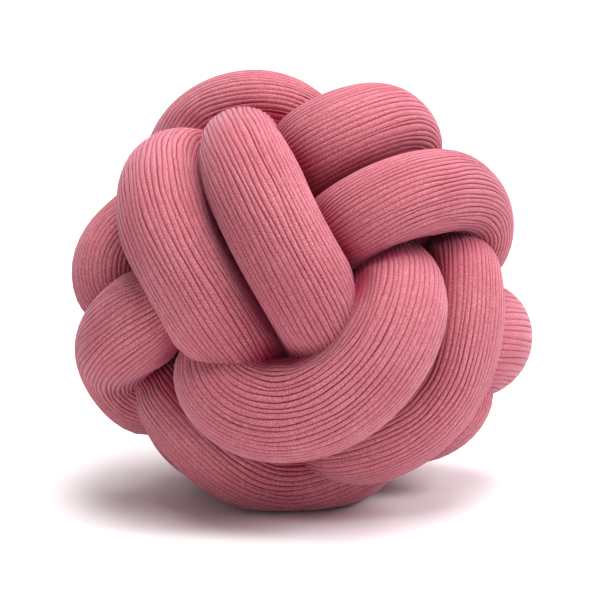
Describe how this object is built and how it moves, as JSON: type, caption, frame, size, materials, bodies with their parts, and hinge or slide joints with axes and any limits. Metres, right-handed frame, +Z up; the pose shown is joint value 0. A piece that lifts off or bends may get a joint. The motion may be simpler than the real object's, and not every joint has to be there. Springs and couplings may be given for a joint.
{
  "type": "knot cushion",
  "caption": "Ball-shaped cushion of thick stuffed ribbed-knit tubing tied over and under itself, with a small flat spot to stand on.",
  "frame": {"origin": "centre of the bounding box's bottom, on the surface that the flat spot rests on", "axes": "+Z up, the shortest way through the ball; -Y is the side whose crossing runs are the face; +X to the right of that face"},
  "size_m": [0.302, 0.296, 0.2771],
  "materials": {
    "rib_knit": "matte ribbed knit, slightly fuzzy, dusty pink"
  },
  "bodies": {
    "root": {"knot_ball": "rib_knit"}
  },
  "joints": []
}
